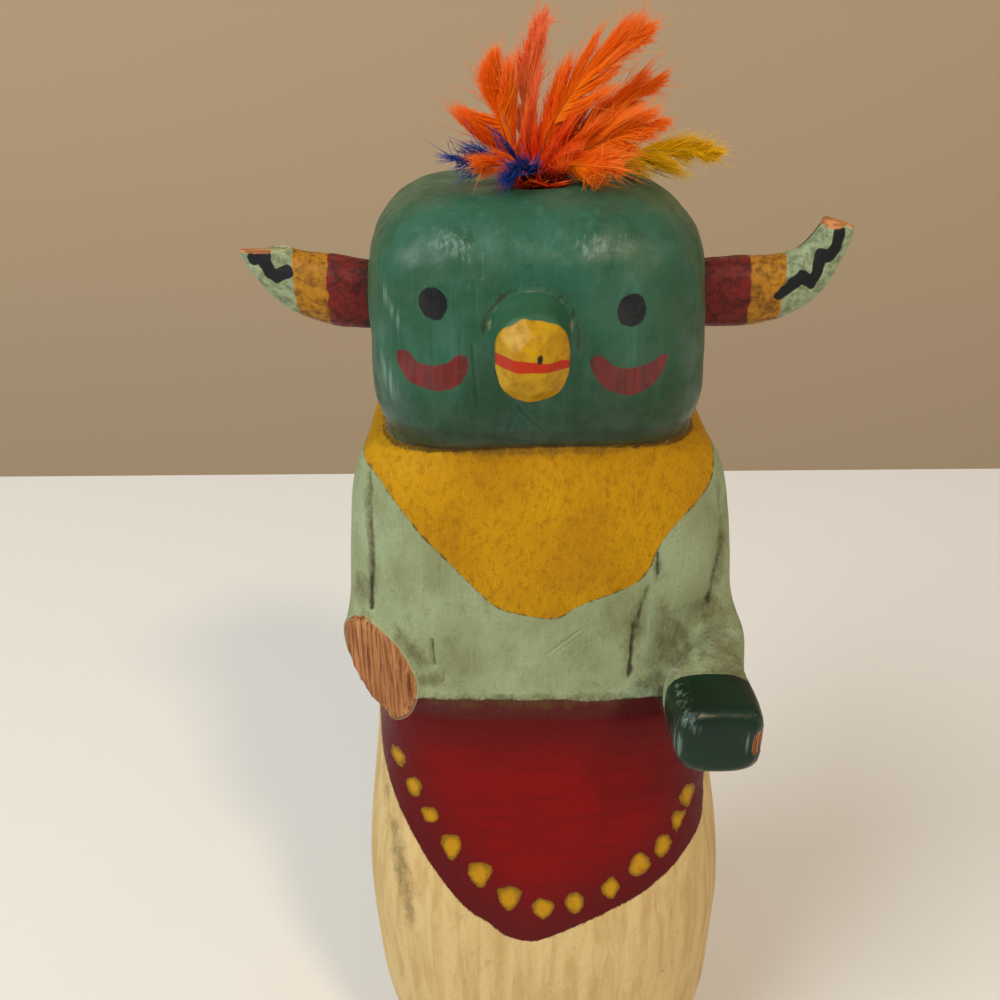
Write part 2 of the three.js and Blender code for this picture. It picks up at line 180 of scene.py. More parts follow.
def inside(flat, outline):
    """Distance in mm to a closed outline, above 0 inside it and below 0 outside."""
    nearest = np.full(len(flat), 1e9)
    within = np.zeros(len(flat), bool)
    for (x0, z0), (x1, z1) in zip(outline, np.roll(outline, -1, 0)):
        nearest = np.minimum(nearest, off_line(flat, (x0, z0), (x1, z1)))
        crosses = (flat[:, 1] < z0) != (flat[:, 1] < z1)
        reach = x0 + (flat[:, 1] - z0) * (x1 - x0) / (z1 - z0 if z1 != z0 else 1e-9)
        within ^= crosses & (flat[:, 0] < reach)
    return np.where(within, nearest, -nearest)


def note(piece, name, value):
    """Keeps one number for each point of the surface, for the paint to go by."""
    layer = piece.data.attributes.get(name) or piece.data.attributes.new(name, "FLOAT", "POINT")
    layer.data.foreach_set("value", np.asarray(value, np.float32))


def finer(piece, wanted, times=1):
    """Splits the faces that have a wanted point, so that small marks come out crisp."""
    for _ in range(times):
        mesh = bmesh.new()
        mesh.from_mesh(piece.data)
        mesh.verts.ensure_lookup_table()
        points = np.array([v.co for v in mesh.verts]) / MM
        chosen = wanted(points)
        edges = {e for f in mesh.faces if any(chosen[v.index] for v in f.verts) for e in f.edges}
        edges = sorted(edges, key=lambda e: e.index)
        bmesh.ops.subdivide_edges(mesh, edges=edges, cuts=1, use_grid_fill=True)
        mesh.to_mesh(piece.data)
        mesh.free()


figure = whittled_copy("figure", "carved_figure", FIGURE_NET)

# The snapped-off forearm: an upright face that looks forward and a little outwards.
BREAK = dict(x=-33.0, y=-23.6, turn=math.radians(9))
BREAK_OUTLINE = rounded([
    (-36.6, 146.4), (-41.0, 143.5), (-41.0, 136.5), (-38.0, 130.0), (-34.6, 125.0),
    (-30.8, 124.2), (-27.6, 127.0), (-26.3, 131.2), (-27.9, 137.0), (-31.2, 142.4),
])


def above_break(points):
    side = (points[:, 0] - BREAK["x"]) * -math.sin(BREAK["turn"])
    return side + (points[:, 1] - BREAK["y"]) * -math.cos(BREAK["turn"])


def on_break(points):
    in_reach = np.abs(above_break(points)) < 1.6
    return np.where(in_reach, inside(front_view(points), BREAK_OUTLINE), OUTSIDE)


# Both arms and the belly are marked off by scored lines, and dry wood has opened in short slits.
# Each line has its ends (sideways, height), its width and its depth.
SCORED = [
    ((-33.0, 174.0), (-33.2, 160.0), 0.5, 0.45),
    ((-33.2, 160.0), (-34.1, 147.5), 0.8, 0.55),
    ((27.4, 170.0), (28.6, 158.0), 0.6, 0.35),
    ((28.6, 158.0), (26.8, 148.5), 1.0, 0.45),
    ((15.0, 154.0), (13.2, 146.0), 0.9, 0.32),
    ((13.2, 146.0), (12.9, 134.0), 0.8, 0.42),
    ((16.3, 160.6), (16.6, 156.4), 0.35, 0.55),
    ((-23.0, 142.4), (-22.8, 136.6), 0.34, 0.5),
    ((-32.6, 171.4), (-32.7, 169.0), 0.3, 0.4),
    ((-21.2, 134.6), (-21.1, 132.8), 0.25, 0.3),
    ((-2.3, 139.4), (3.4, 144.9), 0.2, 0.2),
    ((-0.6, 139.9), (4.2, 144.3), 0.18, 0.14),
    ((-7.5, 188.5), (-3.4, 183.8), 0.2, 0.3),
    ((-9.3, 184.6), (-8.6, 185.7), 0.16, 0.2),
    ((-0.2, 191.6), (0.0, 186.1), 0.16, 0.25),
    ((-20.8, 200.5), (-20.9, 195.1), 0.18, 0.25),
    ((-16.4, 200.6), (-16.6, 194.5), 0.16, 0.2),
    ((-14.6, 198.4), (-13.9, 188.5), 0.2, 0.22),
    ((-13.2, 212.0), (-13.1, 208.6), 0.25, 0.15),
]


def from_fine_scores(points):
    nearest = np.full(len(points), 9.0)
    for start, end, width, depth in SCORED:
        if width <= 0.6:
            nearest = np.minimum(nearest, off_line(front_view(points), start, end))
    return np.where(points[:, 1] < -5, nearest, 9.0)


# Soft brown dirt lies in some places, mixed with painted shade in the grooves beside the arms and belly,
# under the chin, along the waist ledge and under the fist; paint is rubbed pale in others, mixed with
# painted highlights on the brow and on top of the doll's right arm. Each place has its middle
# (sideways, height), its half size and its lean in degrees.
SOILED_AND_SHADED = [
    ((13.3, 143.0), (1.5, 9.0), 4), ((20.0, 140.5), (2.6, 6.0), -14),
    ((17.5, 132.0), (4.5, 3.0), 0), ((26.5, 146.5), (4.2, 3.4), 20),
    ((28.6, 156.0), (1.3, 7.0), 0), ((-35.6, 149.5), (1.8, 4.5), 0),
    ((-33.2, 163.0), (0.8, 10.0), 0), ((-26.8, 138.5), (2.2, 6.0), -32),
    ((-8.0, 128.9), (26.0, 1.1), 0), ((-4.0, 179.8), (26.0, 1.0), 0),
    ((16.5, 158.3), (0.9, 3.0), 0), ((-31.0, 90.0), (2.0, 16.0), -8),
    ((22.0, 142.5), (1.2, 9.0), -30), ((-24.0, 133.0), (3.2, 2.0), 0),
]
# Pale rubs, with painted highlights among them on the brow and on top of the doll's right arm.
SCUFFED_AND_HIGHLIT = [
    ((15.6, 145.5), (0.9, 8.0), 4), ((17.2, 138.5), (0.7, 4.5), 0),
    ((-27.2, 203.5), (0.9, 3.6), -24), ((-27.6, 190.5), (1.6, 5.0), -24),
    ((25.6, 193.0), (1.2, 6.5), 6), ((19.0, 143.9), (1.6, 2.4), -38),
    ((17.8, 139.5), (0.6, 2.5), 0), ((27.8, 141.0), (0.7, 2.4), -8),
    ((-17.0, 213.0), (4.0, 2.0), 10), ((4.0, 212.6), (4.0, 1.8), -8),
    ((-34.6, 168.0), (0.7, 7.0), 0), ((27.4, 161.0), (0.4, 9.0), 3),
]


def patch_of(flat, spots):
    """1 in the middle of the strongest patch, fading out over twice its half size."""
    most = np.zeros(len(flat))
    for middle, half, lean in spots:
        turn = math.radians(lean)
        x, z = flat[:, 0] - middle[0], flat[:, 1] - middle[1]
        across = x * math.cos(turn) - z * math.sin(turn)
        up = z * math.cos(turn) + x * math.sin(turn)
        far = np.hypot(across / half[0], up / half[1])
        most = np.maximum(most, np.exp(-far**2 * 0.7))
    return most


# Eyes, cheek marks and the hem's dabs are brushed on. They are listed here because the surface is
# finer under them. Places are (sideways, height) and sizes are (width, height), in mm.
EYES = [
    ((-20.4, 204.65), (4.3, 4.9), 14),
    ((9.4, 203.6), (4.4, 5.1), -8),
]
CHEEKS = [
    [(-26.6, 196.4), (-26.2, 194.2), (-24.4, 192.0), (-21.0, 191.0), (-17.6, 191.6), (-15.7, 193.6),
     (-15.3, 196.0), (-15.9, 196.9), (-17.3, 196.7), (-18.6, 195.5), (-21.0, 195.0), (-23.2, 195.3),
     (-24.2, 196.6), (-25.4, 197.0)],
    [(3.4, 195.9), (3.8, 194.0), (5.8, 191.5), (9.4, 190.2), (12.7, 191.2), (14.8, 193.6), (15.5, 196.0),
     (14.6, 196.2), (12.6, 195.2), (9.4, 194.6), (7.0, 194.9), (5.6, 196.2), (4.4, 196.6)],
]
DABS = [
    ((-30.6, 115.1), (3.0, 4.0), 0.1), ((-27.6, 109.8), (3.0, 4.4), 0.2),
    ((-24.6, 104.6), (3.2, 3.6), 0.1), ((-20.6, 98.3), (3.7, 5.9), 0.4),
    ((-15.1, 92.8), (4.2, 5.7), 0.4), ((-9.5, 87.6), (4.4, 5.5), 0.5),
    ((-2.8, 85.4), (4.0, 4.8), 0.3), ((3.5, 86.5), (3.7, 4.4), 0.3),
    ((10.5, 89.6), (3.6, 4.7), 0.2), ((16.1, 94.5), (4.3, 4.9), -0.2),
    ((20.6, 97.4), (3.5, 4.8), 0.1), ((23.5, 101.7), (2.8, 4.4), 0.6),
    ((25.5, 106.4), (3.4, 4.6), 0.0),
]


def in_dab(flat, middle, size, tilt=0.0, point=0.0):
    """Distance inside an oval brush dab, drawn to a point below by the share `point`."""
    turn = math.radians(tilt)
    x, z = flat[:, 0] - middle[0], flat[:, 1] - middle[1]
    across = x * math.cos(turn) + z * math.sin(turn)
    up = z * math.cos(turn) - x * math.sin(turn)
    half_wide, half_high = size[0] / 2, size[1] / 2
    narrowed = half_wide * (1 - point * np.clip(-up / half_high, -1, 1))
    far = np.sqrt((across / narrowed) ** 2 + (up / half_high) ** 2)
    return (1 - far) * min(half_wide, half_high)


def small_marks(points):
    flat = front_view(points)
    mark = np.full(len(points), OUTSIDE)
    for middle, size, _ in EYES + DABS:
        mark = np.maximum(mark, in_dab(flat, middle, size))
    for cheek in CHEEKS:
        mark = np.maximum(mark, -np.abs(inside(flat, rounded(cheek))))
    return np.where(points[:, 1] < MARKS_Y, mark, OUTSIDE)


# Rubbing takes the knife's flats off the broad forms and leaves the cut edges of the fist, the
# break, the waist ledge, the neck and the feather hole.
cut = points_of(figure)
mesh_edges = edges_of(figure)
cut = rubbed(cut, mesh_edges, 3)
# The fist's front corners stand square: its free side and its underside are let out a little.
FIST = dict(inner_x=17.4, outer_x=30.0, top=146.4, bottom=134.6)
fist_zone = soft_step(-cut[:, 1], 33.5, 36.5) * soft_step(cut[:, 0], 9.0, 11.0)
break_zone = 1 - soft_step(np.abs(above_break(cut)), 1.5, 3.0)
break_zone *= soft_step(inside(front_view(cut), BREAK_OUTLINE), -2.5, -1.0) * (cut[:, 1] < -10)
hole_far = np.hypot(cut[:, 0] - HOLE["x"], cut[:, 1] - HOLE["y"])
hole_zone = (1 - soft_step(hole_far, 5.0, 7.0)) * soft_step(cut[:, 2], CROWN - 14, CROWN - 12)
ledge_zone = 1 - soft_step(np.abs(cut[:, 2] - WAIST), 2.2, 4.0)
neck_zone = 1 - soft_step(np.abs(cut[:, 2] - NECK), 1.6, 3.4)
foot_zone = 1 - soft_step(cut[:, 2], 1.5, 4.0)
kept_sharp = np.max([fist_zone, break_zone, hole_zone, 0.85 * ledge_zone, 0.3 * neck_zone, foot_zone], 0)
cut = rubbed(cut, mesh_edges, 26, kept_sharp)
let_out = soft_step(-cut[:, 1], 36.0, 46.0) * (cut[:, 0] > ARM_X)
cut[:, 0] += 1.1 * let_out * soft_step(cut[:, 0], FIST["inner_x"], FIST["outer_x"])
cut[:, 2] -= (0.4 + 0.9 * soft_step(-cut[:, 2], -FIST["top"], -FIST["bottom"])) * let_out
set_points(figure, cut)

finer(figure, lambda p: (from_fine_scores(p) < 1.0) | (on_break(p) > -1.2) | (small_marks(p) > -0.9))
finer(figure, lambda p: (from_fine_scores(p) < 0.4) | (on_break(p) > -0.5))

points = points_of(figure)
normals = normals_of(figure)
flat = front_view(points)
mesh_edges = edges_of(figure)
x, y, z = points.T

# The head's lower edge: it rides higher in front, where the chin is cut back.
chin_edge = NECK + 2.0 * np.clip(1 - ((x + 1.5) / 26) ** 2, 0, 1) * soft_step(-y, 8, 16)
on_head = soft_step(z - chin_edge, -0.9, 0.9)
on_fist = soft_step(-y, 37.0, 40.0) * (x > ARM_X)
broken = on_break(points)
bare_break = soft_step(broken, -0.2, 0.2)
upright = points * np.array([1, 1, 0.45])

push = 0.3 * on_head * (knife_cuts(points, 8.5, 11) - 0.3)
push += on_head * (0.2 * waviness(points, 5.0, 12) + 0.09 * waviness(points, 2.2, 13))
push += 0.13 * (1 - on_head) * (1 - on_fist) * (knife_cuts(upright, 7.0, 23) - 0.3)
push += 0.12 * waviness(points, 13.0, 5) + 0.05 * waviness(upright, 4.0, 6)
push *= (1 - bare_break) * (1 - 0.7 * on_fist)

front = y < -5
scored = np.zeros(len(points))
groove = np.zeros(len(points))
for start, end, width, depth in SCORED:
    across = near(off_line(flat, start, end), width)
    groove = np.maximum(groove, depth * across)
    scored = np.maximum(scored, min(1.0, 1.6 * depth) * across)
push -= np.where(front, groove, 0)
# A soft roll of belly stands beside the longest scored line.
push += np.where(front, 0.55 * near(off_line(flat, (16.6, 150.0), (15.6, 138.0)), 1.9), 0)

# The head is left a little proud all round the snout, in a low round boss.
BOSS = dict(x=-5.75, z=199.6, inner=6.5, outer=7.7, height=0.6)
boss_far = np.hypot((x - BOSS["x"]) * 1.06, z - BOSS["z"])
push += np.where(
    y < -20, BOSS["height"] * (1 - soft_step(boss_far, BOSS["inner"], BOSS["outer"])), 0)

# A knife line runs round under the chin.
push -= 0.6 * near(z - chin_edge, 0.7)

# Split wood stands in fine upright ridges across the break.
splinter = waviness(points * np.array([2.6, 1, 0.16]), 1.0, 41)
splinter = splinter + 0.6 * waviness(points * np.array([5.0, 1, 0.3]), 1.0, 42)
push += bare_break * (0.14 * splinter - 0.25)

# Fine rings are turned into the wrist behind the fist, and a chip is out of the fist's outer edge.
wrist = (x > ARM_X) & (y < -30)
for ring_y in (-38.6, -36.2):
    push -= np.where(wrist, 0.22 * near(y - ring_y, 0.55), 0)
CHIP, CHIP_SIZE = np.array([30.2, -50.0, 139.6]), np.array([1.5, 2.2, 3.0])
chip_far = np.linalg.norm((points - CHIP) / CHIP_SIZE, axis=1)
push -= 0.5 * (1 - soft_step(chip_far, 0.5, 1.1))

set_points(figure, points + normals * push[:, None])

# Where the surface dips or stands proud, for dirt with painted shade and for wear with painted highlights.
points = points_of(figure)
x, y, z = points.T
normals = normals_of(figure)
even = rubbed(points, mesh_edges, 3)
evener = rubbed(even, mesh_edges, 14)
note(figure, "small_hollow", ((even - points) * normals).sum(1))
note(figure, "broad_hollow", ((evener - points) * normals).sum(1))

# The painted areas, each as a distance inside its edge.
COLLAR_FRONT = rounded([
    (-44, 182), (-34.6, 175.4), (-30.2, 172.2), (-23.8, 164.6), (-17.4, 157.0), (-11.9, 150.6), (-7.0, 148.5),
    (-0.9, 147.7), (2.8, 150.2), (7.2, 152.2), (12.9, 155.1), (15.2, 158.2), (16.6, 162.6), (20.3, 167.2),
    (25.2, 171.3), (27.4, 176.2), (40, 182), (30, 192), (-30, 192),
])
COLLAR_BACK = rounded([
    (-44, 182), (-34.6, 175.4), (-26.0, 170.0), (-14.0, 163.5), (-3.8, 161.5), (7.0, 164.0), (19.0, 170.0),
    (27.4, 176.2), (40, 182), (30, 192), (-30, 192),
])
APRON_EDGE = rounded([
    (-31.0, 133.0), (-33.9, 124.0), (-34.2, 114.0), (-31.9, 106.4), (-27.6, 98.4), (-23.6, 92.2),
    (-18.2, 85.2), (-14.2, 82.4), (-10.2, 78.8), (-5.4, 77.4), (-0.8, 78.9), (8.9, 83.7), (18.5, 89.1),
    (25.0, 94.2), (28.9, 99.0), (29.5, 106.0), (29.6, 115.0), (31.5, 121.0), (36.0, 125.0), (36.0, 133.0),
])
flat = front_view(points)
in_front = y < 0
collar = np.where(in_front, inside(flat, COLLAR_FRONT), inside(flat, COLLAR_BACK))
note(figure, "head_paint", z - chin_edge - 0.2 + 0.2 * waviness(points, 5.0, 61))
note(figure, "collar_paint", collar + 0.18 * waviness(points, 3.0, 62))
apron = np.minimum(inside(flat, APRON_EDGE), WAIST + 1.0 + 0.35 * waviness(points, 6.0, 65) - z)
apron = np.minimum(apron, -4.0 - y)
note(figure, "apron_paint", apron + 0.12 * waviness(points, 2.5, 63))

wobble = 0.22 * waviness(points, 1.3, 71) + 0.18 * waviness(points, 0.6, 72)
eyes = [in_dab(flat, middle, size, tilt) for middle, size, tilt in EYES]
cheeks = [inside(flat, rounded(cheek)) for cheek in CHEEKS]
dabs = [in_dab(flat, middle, size, 0, point) for middle, size, point in DABS]
for name, marks, ragged in (("eye_paint", eyes, 0.5), ("cheek_paint", cheeks, 0.3), ("dab_paint", dabs, 1.3)):
    mark = np.max(marks, 0) + ragged * wobble
    note(figure, name, np.where(y < MARKS_Y, mark, OUTSIDE))

fist = -40.4 - y + 0.35 * waviness(points, 2.5, 81) + 0.5 * waviness(points, 6.0, 82)
note(figure, "fist_paint", np.where(x > ARM_X, fist, OUTSIDE))
rim = 5.1 - np.hypot(x - HOLE["x"], y - HOLE["y"]) + 0.6 * waviness(points, 1.6, 83)
rim = np.where(z > CROWN - 12, rim, OUTSIDE)
chip = (0.8 - chip_far) * 1.6 + 0.3 * waviness(points, 0.8, 84)
bare = np.max([broken, rim, chip], 0)
note(figure, "bare_wood", bare)
note(figure, "up_the_figure", z)
# Patches of dirt with painted shade, and of pale rubs with painted highlights.
note(figure, "soiled_and_shaded", np.where(in_front, patch_of(flat, SOILED_AND_SHADED), 0))
note(figure, "scuffed_and_highlit", np.where(in_front, patch_of(flat, SCUFFED_AND_HIGHLIT), 0))
worn_line = near(boss_far - 6.8, 0.34) * soft_step(z, 198.0, 202.0)
worn_line = np.where(y < -20, worn_line, 0)
# The fist's upper front edge has a crisp bare line.
fist_edge = near(off_line(flat, (20.2, 145.2), (28.6, 145.0)), 0.17)
worn_line = np.maximum(worn_line, np.where(y < -48.5, fist_edge, 0))
note(figure, "worn_line", worn_line)
break_edge = near(broken + 0.25, 0.35)
note(figure, "break_edge", np.where(np.abs(above_break(points)) < 3, break_edge, 0))
note(figure, "scored", np.where(front, scored, 0))
# How far towards the doll's left, away from the broad light, for painted shade on the head.
note(figure, "painted_shade_side", soft_step(x, 0.0, 26.0))


def linear(red, green, blue):
    """A paint colour from its everyday 0-255 values."""
    shares = [v / 255 for v in (red, green, blue)]
    return (*(s / 12.92 if s <= 0.04 else ((s + 0.055) / 1.055) ** 2.4 for s in shares), 1)


class Finish:
    """One finish as a chain of shader nodes. Sizes are in mm on the surface."""

    def __init__(self, name):
        self.material = bpy.data.materials.new(name)
        self.material.use_nodes = True
        self.tree = self.material.node_tree
        self.surface = self.tree.nodes["Principled BSDF"]
        place = self.tree.nodes.new("ShaderNodeTexCoord")
        self.place = place.outputs["Object"]

    def put(self, kind, inputs=(), **settings):
        node = self.tree.nodes.new("ShaderNode" + kind)
        for key, value in settings.items():
            setattr(node, key, value)
        for key, value in dict(inputs).items():
            self.join(value, node.inputs[key])
        return node

    def join(self, value, socket):
        if isinstance(value, bpy.types.NodeSocket):
            self.tree.links.new(value, socket)
        else:
            socket.default_value = value

    def number(self, name):
        return self.put("Attribute", attribute_name=name).outputs["Fac"]

    def sized(self, size, stretch):
        scale = tuple(1 / (size * MM * s) for s in stretch)
        return self.put("Mapping", {"Vector": self.place, "Scale": scale}).outputs["Vector"]

    def cloud(self, size, stretch=(1, 1, 1), detail=3.0, rough=0.55, warp=0.0):
        inputs = {"Vector": self.sized(size, stretch), "Scale": 1.0, "Detail": detail, "Roughness": rough,
                  "Distortion": warp}
        return self.put("TexNoise", inputs).outputs["Fac"]

    def maths(self, operation, first, second=0.0, third=0.0):
        return self.put("Math", {0: first, 1: second, 2: third}, operation=operation).outputs[0]

    def plus(self, base, extra, times):
        return self.maths("MULTIPLY_ADD", extra, times, base)

    def ramp(self, value, low, high, out_low=0.0, out_high=1.0):
        inputs = {"Value": value, "From Min": low, "From Max": high, "To Min": out_low, "To Max": out_high}
        return self.put("MapRange", inputs, interpolation_type="SMOOTHSTEP").outputs["Result"]

    def mixed(self, share, first, second, way="MIX"):
        node = self.put("Mix", data_type="RGBA", blend_type=way)
        for socket, value in ((0, share), (6, first), (7, second)):
            everyday = isinstance(value, tuple) and len(value) == 3
            self.join(linear(*value) if everyday else value, node.inputs[socket])
        return node.outputs[2]

    def tint(self, under, by, low, high, most, shade):
        """A shade laid over a colour where `by` is high, up to the share `most`."""
        return self.mixed(self.ramp(by, low, high, 0, most), under, shade)

    def two_tone(self, by, low, high, first, second):
        return self.mixed(self.ramp(by, low, high), first, second)

    def blended(self, share, first, second):
        node = self.put("Mix", data_type="FLOAT")
        for socket, value in ((0, share), (2, first), (3, second)):
            self.join(value, node.inputs[socket])
        return node.outputs[0]

    def both(self, first, second):
        return self.maths("MULTIPLY", first, second)

    def bump(self, height, depth, under=None):
        inputs = {"Height": height, "Distance": depth * MM, "Strength": 1.0}
        if under is not None:
            inputs["Normal"] = under
        return self.put("Bump", inputs).outputs["Normal"]

    def lay(self, colour, gloss_free, normal=None, specular=0.5):
        self.join(colour, self.surface.inputs["Base Color"])
        self.join(gloss_free, self.surface.inputs["Roughness"])
        if normal is not None:
            self.join(normal, self.surface.inputs["Normal"])
        self.surface.inputs["Specular IOR Level"].default_value = specular
        return self.material


def bare_cottonwood(f, across=0.45):
    """Bare split wood: light orange-brown with fine dark upright pores."""
    strands = f.cloud(across, (1, 1, 26), detail=4, rough=0.6)
    broad = f.cloud(1.6, (1, 1, 14), detail=2)
    wood = f.two_tone(broad, 0.3, 0.7, (188, 132, 88), (152, 98, 60))
    return f.mixed(f.ramp(strands, 0.44, 0.66), wood, (106, 62, 34)), strands


f = Finish("painted_cottonwood")
hollow = f.number("small_hollow")
height = f.number("up_the_figure")
broad = f.number("broad_hollow")
speckle = f.cloud(0.42, detail=3, rough=0.75)
pits = f.cloud(1.1, (1, 1, 1.7), detail=4, rough=0.7, warp=0.4)
grime = f.cloud(2.4, (1, 1, 1.6), detail=6, rough=0.68)
patches = f.cloud(11, (1, 1, 1.5), detail=4)
grain = f.cloud(0.8, (1, 1, 18), detail=4, rough=0.6, warp=0.3)
long_grain = f.cloud(2.6, (1, 1, 9), detail=4, rough=0.6, warp=0.5)
strokes = f.cloud(1.2, (9, 9, 1), detail=4)


def edge(name, soft=0.1, wander=0.25):
    """1 inside a painted area and 0 outside, with a slightly ragged edge."""
    ragged = f.maths("MULTIPLY_ADD", f.cloud(0.7, detail=2), wander, -wander / 2)
    return f.ramp(f.maths("ADD", f.number(name), ragged), -soft, soft)


def rim_line(name, width=0.3):
    """1 on the very edge of a painted area, broken here and there."""
    off = f.maths("ABSOLUTE", f.number(name))
    return f.both(f.ramp(off, width, 0.05), f.ramp(pits, 0.4, 0.62))


# Body paint: a pale sage green, chalky and thin, with the grain and old dirt showing in it.
body = f.two_tone(patches, 0.3, 0.7, (150, 162, 126), (128, 134, 96))
body = f.tint(body, grain, 0.5, 0.78, 0.3, (160, 172, 138))
body = f.tint(body, grime, 0.5, 0.76, 0.45, (102, 102, 66))
body = f.tint(body, speckle, 0.55, 0.75, 0.6, (72, 74, 46))
# Kilt paint: cream over upright grain, a little grey with handling.
cream = f.two_tone(long_grain, 0.35, 0.7, (206, 178, 124), (188, 156, 102))
cream = f.tint(cream, speckle, 0.5, 0.75, 0.35, (150, 120, 74))
cream = f.tint(cream, grime, 0.56, 0.8, 0.55, (142, 124, 84))
below_waist = f.ramp(height, 127.8, 128.4, 1, 0)
colour = f.mixed(below_waist, body, cream)
roughness = f.blended(below_waist, 0.66, 0.7)
# Collar: yellow ochre, matt, finely speckled with brown.
ochre = f.two_tone(patches, 0.3, 0.7, (188, 137, 3), (170, 118, 2))
ochre = f.tint(ochre, pits, 0.46, 0.7, 0.5, (132, 84, 3))
ochre = f.tint(ochre, grime, 0.5, 0.8, 0.4, (120, 82, 8))
ochre = f.tint(ochre, speckle, 0.54, 0.74, 0.6, (104, 64, 4))
on_collar = edge("collar_paint")
colour = f.mixed(on_collar, colour, ochre)
roughness = f.blended(on_collar, roughness, 0.58)
colour = f.mixed(f.both(rim_line("collar_paint"), 0.75), colour, (62, 44, 12))
# Apron: deep red, with painted shade darkening it towards its edge, and ochre dabs along the hem.
depth_in = f.ramp(f.number("apron_paint"), 1.0, 16.0)
red = f.mixed(depth_in, (84, 5, 9), (118, 2, 1))
red = f.tint(red, strokes, 0.42, 0.75, 0.45, (88, 6, 8))
red = f.tint(red, patches, 0.5, 0.75, 0.5, (84, 5, 14))
red = f.tint(red, pits, 0.62, 0.8, 0.35, (120, 36, 30))
# The ledge at the apron's top is darker, with dirt and painted shade.
on_ledge = f.ramp(height, 125.6, 127.2, 0, 0.75)
red = f.mixed(on_ledge, red, (66, 16, 12))
on_apron = edge("apron_paint")
colour = f.mixed(on_apron, colour, red)
roughness = f.blended(on_apron, roughness, f.ramp(strokes, 0.3, 0.7, 0.38, 0.5))
colour = f.mixed(f.both(rim_line("apron_paint", 0.4), 0.8), colour, (52, 10, 10))
dab = f.two_tone(f.number("dab_paint"), 0.0, 1.1, (116, 84, 10), (178, 128, 14))
dab = f.tint(dab, pits, 0.52, 0.7, 0.6, (120, 80, 12))
on_dab = edge("dab_paint", 0.07, 0.3)
colour = f.mixed(on_dab, colour, dab)
# Head: bottle green, satin, rubbed lighter in upright streaks.
green = f.two_tone(patches, 0.3, 0.72, (40, 92, 70), (34, 76, 50))
green = f.tint(green, grain, 0.56, 0.8, 0.22, (84, 124, 98))
green = f.tint(green, grime, 0.52, 0.78, 0.5, (26, 46, 28))
green = f.tint(green, pits, 0.66, 0.78, 0.3, (92, 128, 104))
green = f.tint(green, long_grain, 0.5, 0.72, 0.4, (56, 112, 96))
lower_face = f.ramp(height, 198.0, 184.0, 0, 0.6)
green = f.mixed(lower_face, green, (28, 48, 26))
# Painted shade: the head turns olive towards the doll's left, away from the broad light.
green = f.mixed(f.both(f.number("painted_shade_side"), 0.5), green, (46, 62, 26))
low_chin = f.ramp(height, 184.8, 183.6, 0, 0.5)
green = f.mixed(low_chin, green, (30, 42, 22))
on_head_paint = edge("head_paint", 0.12, 0.4)
colour = f.mixed(on_head_paint, colour, green)
head_gloss = f.ramp(grime, 0.35, 0.7, 0.36, 0.52)
roughness = f.blended(on_head_paint, roughness, head_gloss)
brick = f.two_tone(grain, 0.4, 0.7, (108, 30, 28), (76, 30, 28))
colour = f.mixed(edge("cheek_paint", 0.08, 0.25), colour, brick)
colour = f.mixed(edge("eye_paint", 0.06, 0.15), colour, (12, 14, 17))
# Fist: dark glossy green.
on_fist_paint = edge("fist_paint", 0.06, 0.3)
fist_green = f.two_tone(patches, 0.35, 0.65, (6, 40, 24), (12, 32, 20))
colour = f.mixed(on_fist_paint, colour, fist_green)
roughness = f.blended(on_fist_paint, roughness, 0.2)
# Dirt with painted shade lies in the cuts, creases and hollows, and paint is rubbed pale along the
# edges, with painted highlights among the pale rubs.
soil_and_shade = f.plus(f.both(f.number("soiled_and_shaded"), 0.62), grime, 1.1)
soil_and_shade = f.ramp(soil_and_shade, 0.72, 1.25, 0, 0.62)
soil_and_shade = f.both(soil_and_shade, f.ramp(speckle, 0.3, 0.6, 0.55, 1.0))
off_fist = f.maths("SUBTRACT", 1.0, on_fist_paint)
colour = f.mixed(f.both(soil_and_shade, off_fist), colour, (78, 60, 28))
# Dirt and painted shade darken the small and broad hollows.
dirt_and_shade = f.ramp(f.plus(hollow, grime, 0.16), 0.13, 0.22)
crease = f.ramp(f.plus(broad, grime, 0.34), 0.36, 0.66)
colour = f.mixed(f.both(f.maths("MAXIMUM", dirt_and_shade, crease), 0.75), colour, (40, 30, 14))
in_score = f.ramp(f.plus(f.number("scored"), pits, 1.2), 0.85, 1.75, 0, 0.85)
colour = f.mixed(in_score, colour, (0.2, 0.16, 0.1, 1), "MULTIPLY")
# Pale bluish rubs, mixed with painted highlights.
scuff_and_highlight = f.plus(f.both(f.number("scuffed_and_highlit"), 0.6), grain, 1.6)
colour = f.tint(colour, scuff_and_highlight, 1.15, 1.7, 0.5, (140, 164, 152))
# Proud edges are lighter: rubbed wear together with painted highlight.
wear_and_highlight = f.ramp(f.plus(hollow, speckle, -0.2), -0.24, -0.36, 0, 0.35)
colour = f.mixed(wear_and_highlight, colour, (180, 184, 160))
ring = f.ramp(f.plus(f.number("worn_line"), pits, 0.8), 0.7, 1.5, 0, 0.6)
colour = f.mixed(ring, colour, (158, 140, 108))
wood, strands = bare_cottonwood(f)
on_bare = edge("bare_wood", 0.1, 0.35)
colour = f.mixed(on_bare, colour, wood)
roughness = f.blended(on_bare, roughness, 0.78)
colour = f.mixed(f.ramp(f.number("break_edge"), 0.5, 1.0, 0, 0.3), colour, (190, 166, 124))
normal = f.bump(speckle, 0.04)
normal = f.bump(pits, 0.1, normal)
normal = f.bump(grain, 0.09, normal)
normal = f.bump(grime, 0.3, normal)
normal = f.bump(f.both(on_bare, strands), 0.3, normal)
figure.data.materials.append(f.lay(colour, roughness, normal, specular=0.12))
f.surface.inputs["Coat Roughness"].default_value = 0.4
